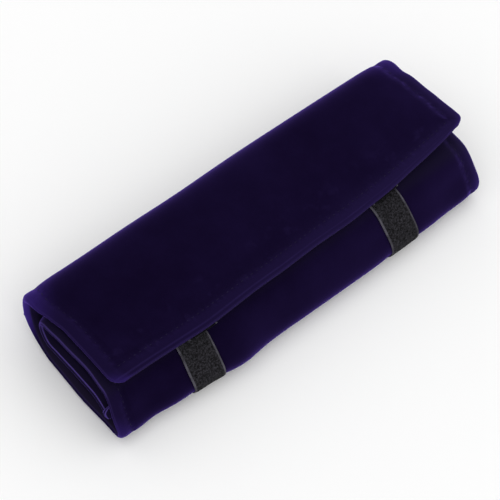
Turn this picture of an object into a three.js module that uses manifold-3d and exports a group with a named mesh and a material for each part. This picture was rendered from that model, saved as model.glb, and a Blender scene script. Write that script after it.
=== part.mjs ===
// Velvet jewelry roll, closed: one long padded strip rolled into a flattened spiral.
// X runs along the roll, Y from front to back, Z up. The roll lies on its flat underside.
// Every cloth, pad and tape is bent along the same spiral, so they stay nested when a size changes.

import * as THREE from 'three';
import { mergeVertices } from 'three/addons/utils/BufferGeometryUtils.js';
import Module from 'manifold-3d';

const wasm = await Module();
wasm.setup();

// Driving dimensions, in millimetres
const rollLength = 264;
const rollDepth = 94;
const stripThickness = 6;
const edgeThickness = 2.6;
const shellThickness = 1.2;
const liningThickness = 1;
const layerGap = 3;
const seatGap = 0.25;

// The roll leans back: each millimetre of height moves a turn this share of a millimetre back
const leanShare = 0.45;

// Soft edges: the padding rises to its full thickness over this width along every free edge
const edgeRise = 26;
const tightFoldThickness = 3;
const tightFoldRise = 10;
const padInset = 12;
const padGap = 1.5;

// Inner end of the strip and front edge of the flap, as distances from the roll's middle line
const innerEndReach = 27;
const flapReach = 23;

// The inner end curls up to the layer above it, over this reach
const innerCurlReach = 10;
const innerCurlRise = 4.2;

// The flap lies askew by this share of its length, its front edge bows forward in the middle,
// and its two front corners are round and stand up off the roll
const flapSkewShare = 0.047;
const flapBow = 5;
const flapCornerLift = 4;
const flapCornerRadius = 6;

// Folds that open, as angles round the outer back turn, from the level through its centre
const lowerFoldAngle = -45;
const upperFoldAngle = 35;
const foldGap = 0.5;

// Fastening tapes: two soft loop tapes on the outside, two hook tapes under the flap
const tapeWidth = 20;
const tapeThickness = 1;
const tapeSpacing = 144;
const loopTapeReach = 12;
const loopTapeEndAngle = 245;
const hookTapeShift = 5;
const hookTapeInset = 3;
const hookTapeLength = 36;

// Zip pockets on the lining. Each zip starts this inset behind the front turn.
const zipInset = 0.7;
const pocketEndInset = 24;
const pocketDepth = 30;
const pocketThickness = 0.8;
const zipTapeWidth = 13;
const zipTapeThickness = 0.45;
const zipChainWidth = 4;
const zipChainThickness = 0.9;
const zipGap = 0.6;
const sliderLength = 9;
const sliderWall = 0.9;
const sliderRoof = 0.6;
const sliderGap = 0.2;
const pullLength = 14;
const pullWidth = 4.5;

// Facets: steps round a half turn, and places of the rows and columns as shares of each width
const turnStepCount = 14;
const riseShares = [0, 0.06, 0.2, 0.45, 1];
const cornerShares = [0, 0.12, 0.4, 1];
const curlShares = [0.25, 0.5, 0.75, 1];
const bowShares = [-0.75, -0.5, -0.25, 0, 0.25, 0.5, 0.75];
const leastRowShare = 0.001;
const leastColumn = 0.25;

// The strip's runs from its inner end to the flap's front edge: flat, turn, flat, turn and so on.
// A place on the strip is a run's number plus a share of that run.
const runNames = [
  'inner', 'tightFold', 'base', 'innerBack', 'middle', 'front', 'bottom', 'back', 'flap',
];
const run = Object.fromEntries(runNames.map((name, number) => [name, number]));
const isTurn = (number) => number % 2 === 1;
const isFrontTurn = (number) => number % 4 === 1;

// The flat runs as they lie on one another, from the underside up
const levels = ['bottom', 'base', 'inner', 'middle', 'flap'];

// Spiral: the middle surface of the strip. Each turn's radius is half a pitch more than the last.
const pitch = stripThickness + layerGap;
const stretch = Math.hypot(1, leanShare);
const halfThickness = stripThickness / 2;
const levelHeight = (name) => halfThickness + levels.indexOf(name) * pitch;
const turnRadius = (number) => ((number + 1) * pitch) / 4;
const tapeStack = seatGap + tapeThickness;
const frontCentre = {
  y: -rollDepth / 2 + tapeStack + turnRadius(run.front) * stretch + halfThickness,
  z: (levelHeight('bottom') + levelHeight('middle')) / 2,
};
const backCentre = {
  y: rollDepth / 2 - turnRadius(run.back) * stretch - halfThickness,
  z: levelHeight('inner'),
};

// A point and outward normal on a turn, at an angle round its centre in degrees
function turnPoint(number, degrees) {
  const centre = isFrontTurn(number) ? frontCentre : backCentre;
  const radius = turnRadius(number);
  const angle = THREE.MathUtils.degToRad(degrees);
  const along = new THREE.Vector2(-Math.sin(angle) + leanShare * Math.cos(angle), Math.cos(angle));
  along.normalize();
  return {
    y: centre.y + radius * (Math.cos(angle) + leanShare * Math.sin(angle)),
    z: centre.z + radius * Math.sin(angle),
    normalY: along.y,
    normalZ: -along.x,
  };
}

// The strip's two ends, before the inner one is curled
const innerEnd = { y: innerEndReach, z: levelHeight('inner'), normalY: 0, normalZ: 1 };
const flapEdge = { y: -flapReach, z: levelHeight('flap'), normalY: 0, normalZ: 1 };

function turnStart(number) {
  return isFrontTurn(number) ? 90 : -90;
}

// The point and outward normal at any place on the strip
function stripPoint(place) {
  const number = Math.min(Math.floor(place), run.flap);
  const share = place - number;
  if (isTurn(number)) {
    return turnPoint(number, turnStart(number) + 180 * share);
  }
  const from = number === run.inner ? innerEnd : turnPoint(number - 1, turnStart(number - 1) + 180);
  const to = number === run.flap ? flapEdge : turnPoint(number + 1, turnStart(number + 1));
  const y = THREE.MathUtils.lerp(from.y, to.y, share);
  const curlShare = number === run.inner ? Math.max(1 - (innerEnd.y - y) / innerCurlReach, 0) : 0;
  const slope = (2 * innerCurlRise * curlShare) / innerCurlReach;
  const across = Math.hypot(1, slope);
  return {
    y,
    z: from.z + innerCurlRise * curlShare ** 2,
    normalY: -slope / across,
    normalZ: from.normalZ / across,
  };
}

// The place on a flat run at a distance along Y, and the place on a turn at an angle
function flatPlace(number, y) {
  const from = stripPoint(number).y;
  const to = number === run.flap ? flapEdge.y : stripPoint(number + 1).y;
  return number + (y - from) / (to - from);
}

function turnPlace(number, degrees) {
  return number + (degrees - turnStart(number)) / 180;
}

// Rounded rise of the padding at a distance from an edge
function rise(distance, width) {
  const share = THREE.MathUtils.clamp(distance / width, 0, 1);
  return Math.sqrt(1 - (1 - share) ** 2);
}

// How far the flap's skew, bow and raised corners move it from a plain flat run
function flapShift(x, place) {
  const share = THREE.MathUtils.clamp(place - run.flap, 0, 1);
  const cornerShare = ((2 * x) / rollLength) ** 2;
  return {
    y: share * (flapSkewShare * x - flapBow * (1 - cornerShare)),
    z: share ** 2 * flapCornerLift * cornerShare,
  };
}

function flapEdgeShare(place) {
  return place > run.flap ? rise(stripPoint(place).y - flapEdge.y, edgeRise) : 1;
}

// The flap lies on the roll, so where its front edge thins out, it is the upper face that comes down
function droop(place) {
  return (halfThickness - edgeThickness / 2) * (1 - flapEdgeShare(place));
}

// Half the strip's thickness at a place: thin at its four edges and where it is folded tight
function halfAt(x, place) {
  const point = stripPoint(place);
  const fromSide = rise(rollLength / 2 - Math.abs(x), edgeRise);
  const fromInnerEnd = place < run.tightFold ? rise(innerEnd.y - point.y, edgeRise) : 1;
  const fromFlapEdge = flapEdgeShare(place);
  const onFold = place >= run.tightFold && place <= run.base;
  const foldDistance = onFold ? 0 : point.y - stripPoint(run.tightFold).y;
  const nearFold = place < run.innerBack ? rise(foldDistance, tightFoldRise) : 1;
  const edgeShare = Math.min(fromSide, fromInnerEnd, fromFlapEdge);
  const edgeHalf = THREE.MathUtils.lerp(edgeThickness / 2, halfThickness, edgeShare);
  const foldHalf = THREE.MathUtils.lerp(tightFoldThickness / 2, halfThickness, nearFold);
  return Math.min(edgeHalf, foldHalf);
}

// Places where a bent piece gets a row of vertices, between its two ends
function rowsBetween(start, end) {
  const rows = [start, end];
  for (const number of Object.values(run).filter(isTurn)) {
    for (let step = 0; step <= turnStepCount; step += 1) {
      rows.push(number + step / turnStepCount);
    }
  }
  for (const share of riseShares) {
    rows.push(flatPlace(run.inner, innerEnd.y - share * edgeRise));
    rows.push(flatPlace(run.inner, stripPoint(run.tightFold).y + share * tightFoldRise));
    rows.push(flatPlace(run.base, stripPoint(run.base).y + share * tightFoldRise));
    rows.push(flatPlace(run.flap, flapEdge.y + share * edgeRise));
  }
  for (const share of curlShares) {
    rows.push(flatPlace(run.inner, innerEnd.y - share * innerCurlReach));
  }
  for (const share of cornerShares) {
    rows.push(flatPlace(run.flap, flapEdge.y + share * flapCornerRadius));
  }
  const inside = rows.filter((place) => place >= start && place <= end);
  inside.sort((a, b) => a - b);
  return inside.filter((place, index) => index === 0 || place - inside[index - 1] > leastRowShare);
}

// Places along the roll of its columns of vertices. The bowed flap has some in its middle too.
function columnsBetween(left, right, end) {
  const columns = [left, right];
  for (const share of riseShares) {
    columns.push(-rollLength / 2 + share * edgeRise);
    columns.push(rollLength / 2 - share * edgeRise);
  }
  if (end > run.flap) {
    columns.push(...bowShares.map((share) => share * (rollLength / 2 - edgeRise)));
  }
  const inside = columns.filter((x) => x >= left && x <= right);
  inside.sort((a, b) => a - b);
  return inside.filter((x, index) => index === 0 || x - inside[index - 1] > leastColumn);
}

// The flap's two front corners are round: how far the ends draw in near its front edge
function cornerInset(place) {
  if (place <= run.flap) return 0;
  const fromEdge = stripPoint(place).y - flapEdge.y;
  const short = Math.max(flapCornerRadius - fromEdge, 0);
  return flapCornerRadius - Math.sqrt(flapCornerRadius ** 2 - short ** 2);
}

// A sheet bent along the spiral: a box whose long side follows the strip.
// low and high give its two faces as heights over the middle surface, at a place.
function bentSheet({ left, right, start, end, low, high }) {
  const columns = columnsBetween(left, right, end);
  const rows = rowsBetween(start, end);
  const box = new THREE.BoxGeometry(1, 1, 1, columns.length - 1, 1, rows.length - 1);
  const position = box.getAttribute('position');
  for (let index = 0; index < position.count; index += 1) {
    const column = Math.round((position.getX(index) + 1 / 2) * (columns.length - 1));
    const row = Math.round((position.getZ(index) + 1 / 2) * (rows.length - 1));
    const place = rows[row];
    const point = stripPoint(place);
    const widthShare = 1 - (2 * cornerInset(place)) / rollLength;
    const x = columns[column] * widthShare;
    const shift = flapShift(x, place);
    const face = position.getY(index) > 0 ? high : low;
    const height = face(columns[column], place) - droop(place);
    position.setXYZ(
      index,
      x,
      point.y + shift.y + point.normalY * height,
      point.z + shift.z + point.normalZ * height,
    );
  }
  return closed(box);
}

function closed(geometry) {
  geometry.deleteAttribute('normal');
  geometry.deleteAttribute('uv');
  return mergeVertices(geometry);
}

// Heights of the strip's layers over its middle surface, from the velvet inwards
const shellLayer = {
  low: (x, place) => halfAt(x, place) - shellThickness,
  high: halfAt,
};
const padLayer = {
  low: (x, place) => -halfAt(x, place) + liningThickness + seatGap,
  high: (x, place) => halfAt(x, place) - shellThickness - seatGap,
};
const liningLayer = {
  low: (x, place) => -halfAt(x, place),
  high: (x, place) => -halfAt(x, place) + liningThickness,
};

// A layer lying on the velvet, and one lying on the lining
function onVelvet(thickness) {
  return {
    low: (x, place) => halfAt(x, place) + seatGap,
    high: (x, place) => halfAt(x, place) + seatGap + thickness,
  };
}

function onLining(thickness) {
  return {
    low: (x, place) => -halfAt(x, place) - seatGap - thickness,
    high: (x, place) => -halfAt(x, place) - seatGap,
  };
}

// Finishes
function finish(colour, roughness, metalness) {
  return new THREE.MeshStandardMaterial({ color: colour, roughness, metalness });
}

const velvet = finish(0x1a0f38, 0.95, 0);
const lining = finish(0x170f2e, 0.95, 0);
const foam = finish(0xd9d4c4, 0.9, 0);
const loopPile = finish(0x232226, 0.95, 0);
const hookPile = finish(0x2b2b2f, 0.7, 0);
const zipCloth = finish(0x141020, 0.85, 0);
const zipMetal = finish(0xb9a25a, 0.35, 0.9);

const roll = new THREE.Group();

function add(name, geometry, material) {
  const mesh = new THREE.Mesh(geometry, material);
  mesh.name = name;
  roll.add(mesh);
  return mesh;
}

// A length along a flat run or a turn, as a share of it
const flatShareOf = (number, length) => length / Math.abs(stripPoint(number + 1).y - stripPoint(number).y);
const turnShareOf = (number, length) => length / (Math.PI * turnRadius(number));

// The strip is cut where it opens: at the lower fold behind the roll, and at the upper fold
const lowerFold = turnPlace(run.back, lowerFoldAngle);
const upperFold = turnPlace(run.back, upperFoldAngle);
const foldHalfGap = turnShareOf(run.back, foldGap / 2);
const flapEnd = run.flap + 1;
const stretches = {
  body: { start: 0, end: lowerFold - foldHalfGap },
  back: { start: lowerFold + foldHalfGap, end: upperFold - foldHalfGap },
  flap: { start: upperFold + foldHalfGap, end: flapEnd },
};

// Velvet shell and lining of each stretch
for (const [name, stretchOfStrip] of Object.entries(stretches)) {
  const ends = { left: -rollLength / 2, right: rollLength / 2, ...stretchOfStrip };
  add(`${name}_shell`, bentSheet({ ...ends, ...shellLayer }), velvet);
  add(`${name}_lining`, bentSheet({ ...ends, ...liningLayer }), lining);
}

// Foam pads between them. Each stops short of the folds and of the sewn edges.
const pads = {
  inner_end_pad: {
    start: flatPlace(run.inner, innerEnd.y - padInset),
    end: run.tightFold - flatShareOf(run.inner, padGap),
  },
  inner_base_pad: {
    start: run.base + flatShareOf(run.base, padGap),
    end: run.innerBack - flatShareOf(run.base, padGap),
  },
  middle_pad: {
    start: run.innerBack,
    end: run.front,
  },
  front_pad: {
    start: run.front + turnShareOf(run.front, padGap),
    end: run.bottom - turnShareOf(run.front, padGap),
  },
  bottom_pad: {
    start: run.bottom,
    end: lowerFold - turnShareOf(run.back, padGap),
  },
  back_pad: {
    start: lowerFold + turnShareOf(run.back, padGap),
    end: upperFold - turnShareOf(run.back, padGap),
  },
  flap_pad: {
    start: upperFold + turnShareOf(run.back, padGap),
    end: flatPlace(run.flap, flapEdge.y + padInset),
  },
};
const padSides = { left: -rollLength / 2 + padInset, right: rollLength / 2 - padInset };
for (const [name, ends] of Object.entries(pads)) {
  add(name, bentSheet({ ...padSides, ...ends, ...padLayer }), foam);
}

// Loop tapes: from under the flap, over the front and down to just above the underside
// Hook tapes: under the flap, behind its front edge, facing the loop tapes
const tapeMiddles = { left: -tapeSpacing / 2, right: tapeSpacing / 2 };
for (const [side, middle] of Object.entries(tapeMiddles)) {
  const across = { left: middle - tapeWidth / 2, right: middle + tapeWidth / 2 };
  const loopEnds = {
    start: flatPlace(run.middle, loopTapeReach),
    end: turnPlace(run.front, loopTapeEndAngle),
  };
  add(`${side}_loop_tape`, bentSheet({ ...across, ...loopEnds, ...onVelvet(tapeThickness) }), loopPile);
  const shifted = { left: across.left + hookTapeShift, right: across.right + hookTapeShift };
  const hookEnds = {
    start: flatPlace(run.flap, flapEdge.y + hookTapeInset + hookTapeLength),
    end: flatPlace(run.flap, flapEdge.y + hookTapeInset),
  };
  add(`${side}_hook_tape`, bentSheet({ ...shifted, ...hookEnds, ...onLining(tapeThickness) }), hookPile);
}

// Zip pockets: one on the lining of the bottom, one on the lining of the layer under the flap.
// The zip lies beside the pocket's mouth, its tape sewn to the lining, its slider over the chain.
function zipProfile(up) {
  const chainTop = zipTapeThickness + zipChainThickness;
  const profile = new THREE.Shape();
  profile.moveTo(-zipTapeWidth / 2, 0);
  profile.lineTo(zipTapeWidth / 2, 0);
  profile.lineTo(zipTapeWidth / 2, up * zipTapeThickness);
  profile.lineTo(zipChainWidth / 2, up * zipTapeThickness);
  profile.lineTo(zipChainWidth / 2, up * chainTop);
  profile.lineTo(-zipChainWidth / 2, up * chainTop);
  profile.lineTo(-zipChainWidth / 2, up * zipTapeThickness);
  profile.lineTo(-zipTapeWidth / 2, up * zipTapeThickness);
  return profile;
}

function sliderProfile(up) {
  const inside = zipChainWidth / 2 + sliderGap;
  const outside = inside + sliderWall;
  const foot = zipTapeThickness + sliderGap;
  const ceiling = zipTapeThickness + zipChainThickness + sliderGap;
  const profile = new THREE.Shape();
  profile.moveTo(-outside, up * foot);
  profile.lineTo(-inside, up * foot);
  profile.lineTo(-inside, up * ceiling);
  profile.lineTo(inside, up * ceiling);
  profile.lineTo(inside, up * foot);
  profile.lineTo(outside, up * foot);
  profile.lineTo(outside, up * (ceiling + sliderRoof));
  profile.lineTo(-outside, up * (ceiling + sliderRoof));
  return profile;
}

// An extrusion along X of an outline drawn in Y and Z, from one X to another
function alongX(profile, from, to) {
  const geometry = new THREE.ExtrudeGeometry(profile, { depth: to - from, bevelEnabled: false });
  geometry.rotateX(Math.PI / 2);
  geometry.rotateZ(Math.PI / 2);
  geometry.translate(from, 0, 0);
  return closed(geometry);
}

// Two closed solids joined into one
function joined(first, second) {
  const solids = [first, second].map((geometry) => new wasm.Manifold(new wasm.Mesh({
    numProp: 3,
    vertProperties: new Float32Array(geometry.getAttribute('position').array),
    triVerts: new Uint32Array(geometry.index.array),
  })));
  const mesh = solids[0].add(solids[1]).getMesh();
  const geometry = new THREE.BufferGeometry();
  geometry.setAttribute('position', new THREE.BufferAttribute(mesh.vertProperties, 3));
  geometry.setIndex(new THREE.BufferAttribute(mesh.triVerts, 1));
  return geometry;
}

// The slider straddles the chain, and its flat pull lies along the chain from the slider's roof
function sliderGeometry(up, end) {
  const body = alongX(sliderProfile(up), end - sliderLength, end);
  const ceiling = zipTapeThickness + zipChainThickness + sliderGap;
  const pull = new THREE.BoxGeometry(pullLength, pullWidth, sliderRoof);
  pull.translate(end - sliderLength / 2 - pullLength / 2, 0, up * (ceiling + sliderRoof / 2));
  return joined(body, closed(pull));
}

const pocketEnd = rollLength / 2 - pocketEndInset;
const pocketLevels = { lower: 'bottom', upper: 'middle' };
for (const [name, level] of Object.entries(pocketLevels)) {
  const zipFront = Math.min(stripPoint(run[level]).y, stripPoint(run[level] + 1).y) + zipInset;
  const mouth = zipFront + zipTapeWidth + zipGap;
  const places = [mouth, mouth + pocketDepth].map((y) => flatPlace(run[level], y));
  const sheetEnds = {
    left: -pocketEnd,
    right: pocketEnd,
    start: Math.min(...places),
    end: Math.max(...places),
  };
  add(`${name}_pocket`, bentSheet({ ...sheetEnds, ...onLining(pocketThickness) }), lining);
  const up = -stripPoint(run[level]).normalZ;
  const seat = levelHeight(level) + up * (halfThickness + seatGap);
  const zipMiddle = zipFront + zipTapeWidth / 2;
  const zip = add(`${name}_zip`, alongX(zipProfile(up), -pocketEnd, pocketEnd), zipCloth);
  zip.position.set(0, zipMiddle, seat);
  const slider = add(`${name}_zip_slider`, sliderGeometry(up, pocketEnd - sliderLength), zipMetal);
  slider.position.set(0, zipMiddle, seat);
}

export default roll;
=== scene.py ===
# %% [markdown]
# # A velvet jewelry roll, rolled up
#
# The real object is one long padded strip. It is rolled into a flattened spiral and closed with
# a flap, which two pairs of hook and loop tapes hold. The CAD model has every piece as a plain
# solid in its place. Here each gets the form and the finish of the real one: soft padding,
# turned-in edges, stitches, velvet pile, woven tapes and zips.

import bisect
import math

import bmesh
import bpy
from mathutils import Matrix, Vector, noise


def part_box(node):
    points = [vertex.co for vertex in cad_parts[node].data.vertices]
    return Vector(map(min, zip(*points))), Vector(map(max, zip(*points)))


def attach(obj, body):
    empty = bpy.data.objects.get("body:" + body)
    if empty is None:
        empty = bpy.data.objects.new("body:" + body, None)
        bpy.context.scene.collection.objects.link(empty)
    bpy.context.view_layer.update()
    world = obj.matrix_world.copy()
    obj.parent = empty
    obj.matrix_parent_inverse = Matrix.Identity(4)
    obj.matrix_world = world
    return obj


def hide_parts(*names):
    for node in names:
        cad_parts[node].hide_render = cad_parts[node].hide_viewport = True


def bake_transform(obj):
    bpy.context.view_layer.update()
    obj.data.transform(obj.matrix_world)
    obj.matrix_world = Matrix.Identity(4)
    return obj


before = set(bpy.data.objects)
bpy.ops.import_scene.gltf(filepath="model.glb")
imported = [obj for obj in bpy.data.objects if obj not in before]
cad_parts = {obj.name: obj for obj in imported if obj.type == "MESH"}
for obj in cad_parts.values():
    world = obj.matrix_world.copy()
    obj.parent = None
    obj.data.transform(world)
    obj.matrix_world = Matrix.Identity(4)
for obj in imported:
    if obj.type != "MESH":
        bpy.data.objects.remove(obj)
scene = bpy.context.scene
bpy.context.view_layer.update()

# %% [markdown]
# ## Sizes
#
# Everything here is in metres. The strip's own sizes repeat those of the CAD model, so each new
# piece lies where its solid lies. The roll's length and depth are read from the frame.

# %% Sizes of the padded strip
MM = 0.001
ROLL_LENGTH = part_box("body_shell")[1][0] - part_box("body_shell")[0][0]
ROLL_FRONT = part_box("left_loop_tape")[0][1]
ROLL_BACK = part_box("back_shell")[1][1]
HALF_LENGTH = ROLL_LENGTH / 2
HALF_THICKNESS = 3 * MM
EDGE_HALF_THICKNESS = 1.3 * MM
LAYER_GAP = 3 * MM
PITCH = 2 * HALF_THICKNESS + LAYER_GAP
LEAN_SHARE = 0.45
STRETCH = math.hypot(1, LEAN_SHARE)
TIGHT_FOLD_HALF_THICKNESS = 1.5 * MM
TIGHT_FOLD_RISE = 10 * MM
SEAT_GAP = 0.25 * MM
TAPE_THICKNESS = 1 * MM
INNER_END_REACH = 27 * MM
INNER_CURL_REACH = 10 * MM
INNER_CURL_RISE = 4.2 * MM
FLAP_REACH = 23 * MM
print("roll length in mm:", round(ROLL_LENGTH / MM, 2))

# %% [markdown]
# ## The spiral
#
# A rolled-up strip is easiest to describe by how far along it a point lies. Here that is its
# place: a run's number plus a share of that run. Even runs are flat, and odd runs are half turns,
# each with a radius half a pitch larger than the last. The whole roll leans back a little, so a
# turn's point also moves back as it rises.

# %% Names and heights of the runs
RUN_NAMES = ("inner", "tight_fold", "base", "inner_back", "middle", "front", "bottom", "back", "flap")
RUN = {name: number for number, name in enumerate(RUN_NAMES)}
FLAP_END = len(RUN_NAMES)
LEVELS = ("bottom", "base", "inner", "middle", "flap")
HALF_TURN = 180


def level_height(name):
    return HALF_THICKNESS + LEVELS.index(name) * PITCH


def is_turn(number):
    return number % 2 == 1


def is_front_turn(number):
    return number % 4 == 1


def turn_radius(number):
    return (number + 1) * PITCH / 4


def turn_start(number):
    return HALF_TURN / 2 if is_front_turn(number) else -HALF_TURN / 2


for name in ("tight_fold", "inner_back", "front", "back"):
    print(name, "radius in mm:", round(turn_radius(RUN[name]) / MM, 2))

# %% Where the middle of the strip runs
TAPE_STACK = SEAT_GAP + TAPE_THICKNESS
FRONT_Y = ROLL_FRONT + TAPE_STACK + turn_radius(RUN["front"]) * STRETCH + HALF_THICKNESS
FRONT_Z = (level_height("bottom") + level_height("middle")) / 2
BACK_Y = ROLL_BACK - turn_radius(RUN["back"]) * STRETCH - HALF_THICKNESS
BACK_Z = level_height("inner")


def turn_point(number, degrees):
    """A point on a turn and the velvet's outward direction there, as y, z, normal y, normal z."""
    centre_y, centre_z = (FRONT_Y, FRONT_Z) if is_front_turn(number) else (BACK_Y, BACK_Z)
    radius = turn_radius(number)
    angle = math.radians(degrees)
    along_y = -math.sin(angle) + LEAN_SHARE * math.cos(angle)
    along_z = math.cos(angle)
    length = math.hypot(along_y, along_z)
    y = centre_y + radius * (math.cos(angle) + LEAN_SHARE * math.sin(angle))
    z = centre_z + radius * math.sin(angle)
    return y, z, along_z / length, -along_y / length


def between(low, high, share):
    return low + share * (high - low)


def strip_point(place):
    """The same for any place on the strip."""
    number = min(math.floor(place), RUN["flap"])
    share = place - number
    if is_turn(number):
        return turn_point(number, turn_start(number) + HALF_TURN * share)
    if number == RUN["inner"]:
        from_y, z, outward = INNER_END_REACH, level_height("inner"), 1
    else:
        from_y, z, _, outward = turn_point(number - 1, turn_start(number - 1) + HALF_TURN)
    is_flap = number == RUN["flap"]
    to_y = -FLAP_REACH if is_flap else turn_point(number + 1, turn_start(number + 1))[0]
    y = between(from_y, to_y, share)
    curl_share = max(1 - (INNER_END_REACH - y) / INNER_CURL_REACH, 0) if number == RUN["inner"] else 0
    slope = 2 * INNER_CURL_RISE * curl_share / INNER_CURL_REACH
    across = math.hypot(1, slope)
    return y, z + INNER_CURL_RISE * curl_share**2, -slope / across, outward / across


def flat_place(name, y):
    """The place on a flat run that lies at a distance y."""
    number = RUN[name]
    from_y = strip_point(number)[0]
    to_y = -FLAP_REACH if name == "flap" else strip_point(number + 1)[0]
    return number + (y - from_y) / (to_y - from_y)


def turn_place(name, degrees):
    return RUN[name] + (degrees - turn_start(RUN[name])) / HALF_TURN


print("the flap's front edge is at y, z in mm:", [round(v / MM, 1) for v in strip_point(FLAP_END)[:2]])

# %% [markdown]
# ## The strip's own length
#
# Stitches, weave and padding are spread evenly along the cloth, not along the place numbers. A
# table of lengths, added up in small steps from the inner end, turns a place into a length and
# back again.

# %% Length along the strip
LENGTH_STEPS = 30
length_table = [0.0]
for step in range(FLAP_END * LENGTH_STEPS):
    last = min((step + 1) / LENGTH_STEPS, FLAP_END)
    here, there = strip_point(step / LENGTH_STEPS), strip_point(last)
    length_table.append(length_table[-1] + math.dist(here[:2], there[:2]))
STRIP_LENGTH = length_table[-1]


def clamped(value, low=0, high=1):
    return min(max(value, low), high)


def strip_length(place):
    step = clamped(place, 0, FLAP_END) * LENGTH_STEPS
    number = min(int(step), len(length_table) - 2)
    return between(length_table[number], length_table[number + 1], step - number)


def place_at(length):
    number = clamped(bisect.bisect_right(length_table, length) - 1, 0, len(length_table) - 2)
    low, high = length_table[number], length_table[number + 1]
    return (number + (length - low) / (high - low)) / LENGTH_STEPS


print("the unrolled strip in mm:", round(ROLL_LENGTH / MM), "x", round(STRIP_LENGTH / MM))

# %% [markdown]
# ## Padding, simulated on the flat strip
#
# The strip is sewn flat, and only then rolled up. So the padding is also worked out flat: a
# sheet as large as the strip is pinned along its edges, along the row of stitches inside them
# and where the tapes are sewn on. Pressure from below then lifts it, and a little spare cloth
# makes it pucker beside the stitches. This gives a map of how high the velvet stands, which
# every piece reads later. Simulated in place, the layers of a tight roll would push through
# each other.

# %% Sewn lines and tapes on the flat strip
STITCH_INSET = 7 * MM
TAPE_WIDTH = 20 * MM
TAPE_SPACING = 144 * MM
TAPE_MIDDLES = {"left": -TAPE_SPACING / 2, "right": TAPE_SPACING / 2}
LOOP_TAPE_REACH = 12 * MM
LOOP_TAPE_START = flat_place("middle", LOOP_TAPE_REACH)
LOOP_TAPE_END_DEGREES = 245
LOOP_TAPE_END = turn_place("front", LOOP_TAPE_END_DEGREES)
TAPE_SHIFT = -2.7 * MM
TAPE_TWIST = 1.8 * MM
TWIST_MIDDLE_SHARE = 0.3
TWIST_REACH_SHARE = 0.4


def tape_shift(place):
    """The loop tapes run a little askew down the front of the roll."""
    twist = (place - RUN["front"] - TWIST_MIDDLE_SHARE) / TWIST_REACH_SHARE
    return TAPE_SHIFT + TAPE_TWIST * clamped(twist, -1, 1)


def side_distance(x):
    return HALF_LENGTH - abs(x)


def is_sewn(x, length, reach):
    """True on the strip's edges, on its stitch rows and under the loop tapes."""
    from_edge = min(side_distance(x), length, STRIP_LENGTH - length)
    if from_edge < reach or abs(from_edge - STITCH_INSET) < reach:
        return True
    if not strip_length(LOOP_TAPE_START) < length < strip_length(LOOP_TAPE_END):
        return False
    off_middle = min(abs(x - middle - tape_shift(place_at(length))) for middle in TAPE_MIDDLES.values())
    return off_middle < TAPE_WIDTH / 2


# %% A finished object from a bmesh
def make_piece(name, bm, smooth_level=0):
    """Turns a bmesh into an object at the origin, shaded smooth."""
    mesh = bpy.data.meshes.new(name)
    bm.to_mesh(mesh)
    bm.free()
    for polygon in mesh.polygons:
        polygon.use_smooth = True
    piece = bpy.data.objects.new(name, mesh)
    scene.collection.objects.link(piece)
    if smooth_level:
        modifier = piece.modifiers.new("smooth", "SUBSURF")
        modifier.levels = smooth_level
        modifier.render_levels = smooth_level
    print(f"{name}: {len(mesh.polygons)} faces before smoothing")
    return piece


# %% The simulation
PANEL_STEP = 3 * MM
PANEL_FRAMES = 20
PANEL_COLUMNS = round(ROLL_LENGTH / PANEL_STEP)
PANEL_ROWS = round(STRIP_LENGTH / PANEL_STEP)
panel_heights = [[0.0] * (PANEL_COLUMNS + 1) for _ in range(PANEL_ROWS + 1)]
CLOTH_SETTINGS = {
    "use_pressure": True,
    "uniform_pressure_force": 1.5,
    "quality": 5,
    "mass": 0.15,
    "tension_stiffness": 15,
    "compression_stiffness": 15,
    "shear_stiffness": 6,
    "bending_stiffness": 5,
    "shrink_min": -0.003,
}


def set_cloth(cloth, pins):
    for name, value in CLOTH_SETTINGS.items():
        setattr(cloth.settings, name, value)
    cloth.settings.vertex_group_mass = pins
    cloth.settings.effector_weights.gravity = 0
    cloth.collision_settings.use_collision = False
    cloth.point_cache.frame_end = PANEL_FRAMES


def simulate_panel():
    """Fills panel_heights with the heights of a flat sewn panel under pressure."""
    bm = bmesh.new()
    bmesh.ops.create_grid(bm, x_segments=PANEL_COLUMNS, y_segments=PANEL_ROWS, size=0.5)
    bmesh.ops.scale(bm, vec=(ROLL_LENGTH, STRIP_LENGTH, 1), verts=bm.verts[:])
    panel = make_piece("panel", bm)
    flat = [(vert.co.x, vert.co.y + STRIP_LENGTH / 2) for vert in panel.data.vertices]
    pinned = [index for index, (x, length) in enumerate(flat) if is_sewn(x, length, PANEL_STEP / 2)]
    pins = panel.vertex_groups.new(name="pins")
    pins.add(pinned, 1, "REPLACE")
    set_cloth(panel.modifiers.new("cloth", "CLOTH"), pins.name)
    for number in range(1, PANEL_FRAMES + 1):
        scene.frame_set(number)
    lifted = panel.evaluated_get(bpy.context.evaluated_depsgraph_get()).data.vertices
    for (x, length), vert in zip(flat, lifted):
        row = round(length / STRIP_LENGTH * PANEL_ROWS)
        column = round((x / ROLL_LENGTH + 1 / 2) * PANEL_COLUMNS)
        panel_heights[row][column] = vert.co.z
    # Removing the mesh also removes the panel that shows it.
    bpy.data.meshes.remove(panel.data)
    scene.frame_set(1)


simulate_panel()
print("highest point of the free panel in mm:", round(max(map(max, panel_heights)) / MM, 2))

# %% [markdown]
# ## How thick the strip is
#
# The two cloths are sewn together along the edges, so the padding rises from them on a rounded
# profile. The simulated height is capped: the foam inside is only so thick, and it is glued to
# the cloth. That leaves the puckers beside the stitches and a smooth middle. The underside lies
# flat on the table, the outer turns bulge a little more half way along the roll, and where the
# strip turns up behind the roll its two ends bunch up and stay thick.

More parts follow.
